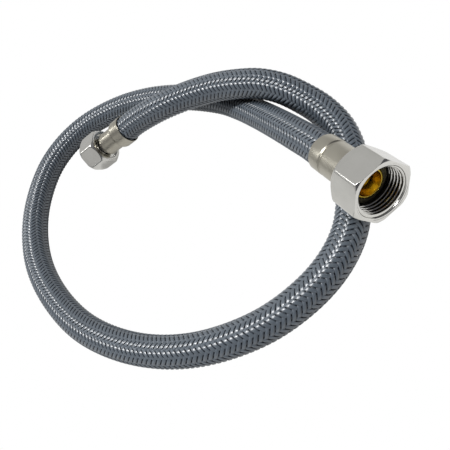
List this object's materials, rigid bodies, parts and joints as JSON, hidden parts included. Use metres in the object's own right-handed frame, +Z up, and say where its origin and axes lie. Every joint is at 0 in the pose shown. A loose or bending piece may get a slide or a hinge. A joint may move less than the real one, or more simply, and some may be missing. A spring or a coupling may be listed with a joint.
{
  "type": "braided connection hose",
  "caption": "Flexible braided water hose lying in a loop that crosses itself, with a swivel hexagon nut and a crimped ferrule at either end.",
  "frame": {"origin": "bottom centre of the box round the fittings at both ends, without the hose", "axes": "+Z is up from the floor that the hose lies on, and the large nut points along -Y, within 9 degrees"},
  "size_m": [0.1392, 0.1721, 0.0323],
  "materials": {
    "nickel": "satin nickel plate",
    "crimped": "satin",
    "brass": "turned",
    "seal": "matte",
    "tube": "matte",
    "braid": "glossy flat strands, braided"
  },
  "bodies": {
    "hose": {"braid_sleeve": "braid", "inner_tube": "tube", "large_washer": "seal", "large_insert": "brass", "large_ferrule": "crimped", "small_washer": "seal", "small_insert": "brass", "small_ferrule": "crimped"},
    "large_swivel": {"large_nut": "nickel"},
    "small_swivel": {"small_nut": "nickel"}
  },
  "joints": [
    {"name": "large_nut_turn", "type": "hinge", "parent": "hose", "child": "large_swivel", "pos_m": [0.02665, -0.0713, 0.02287], "axis": [-0.0552, -0.9877, 0.1461], "continuous": true},
    {"name": "small_nut_turn", "type": "hinge", "parent": "hose", "child": "small_swivel", "pos_m": [-0.03341, 0.06617, 0.00747], "axis": [-0.7974, 0.5419, -0.2656], "continuous": true}
  ]
}
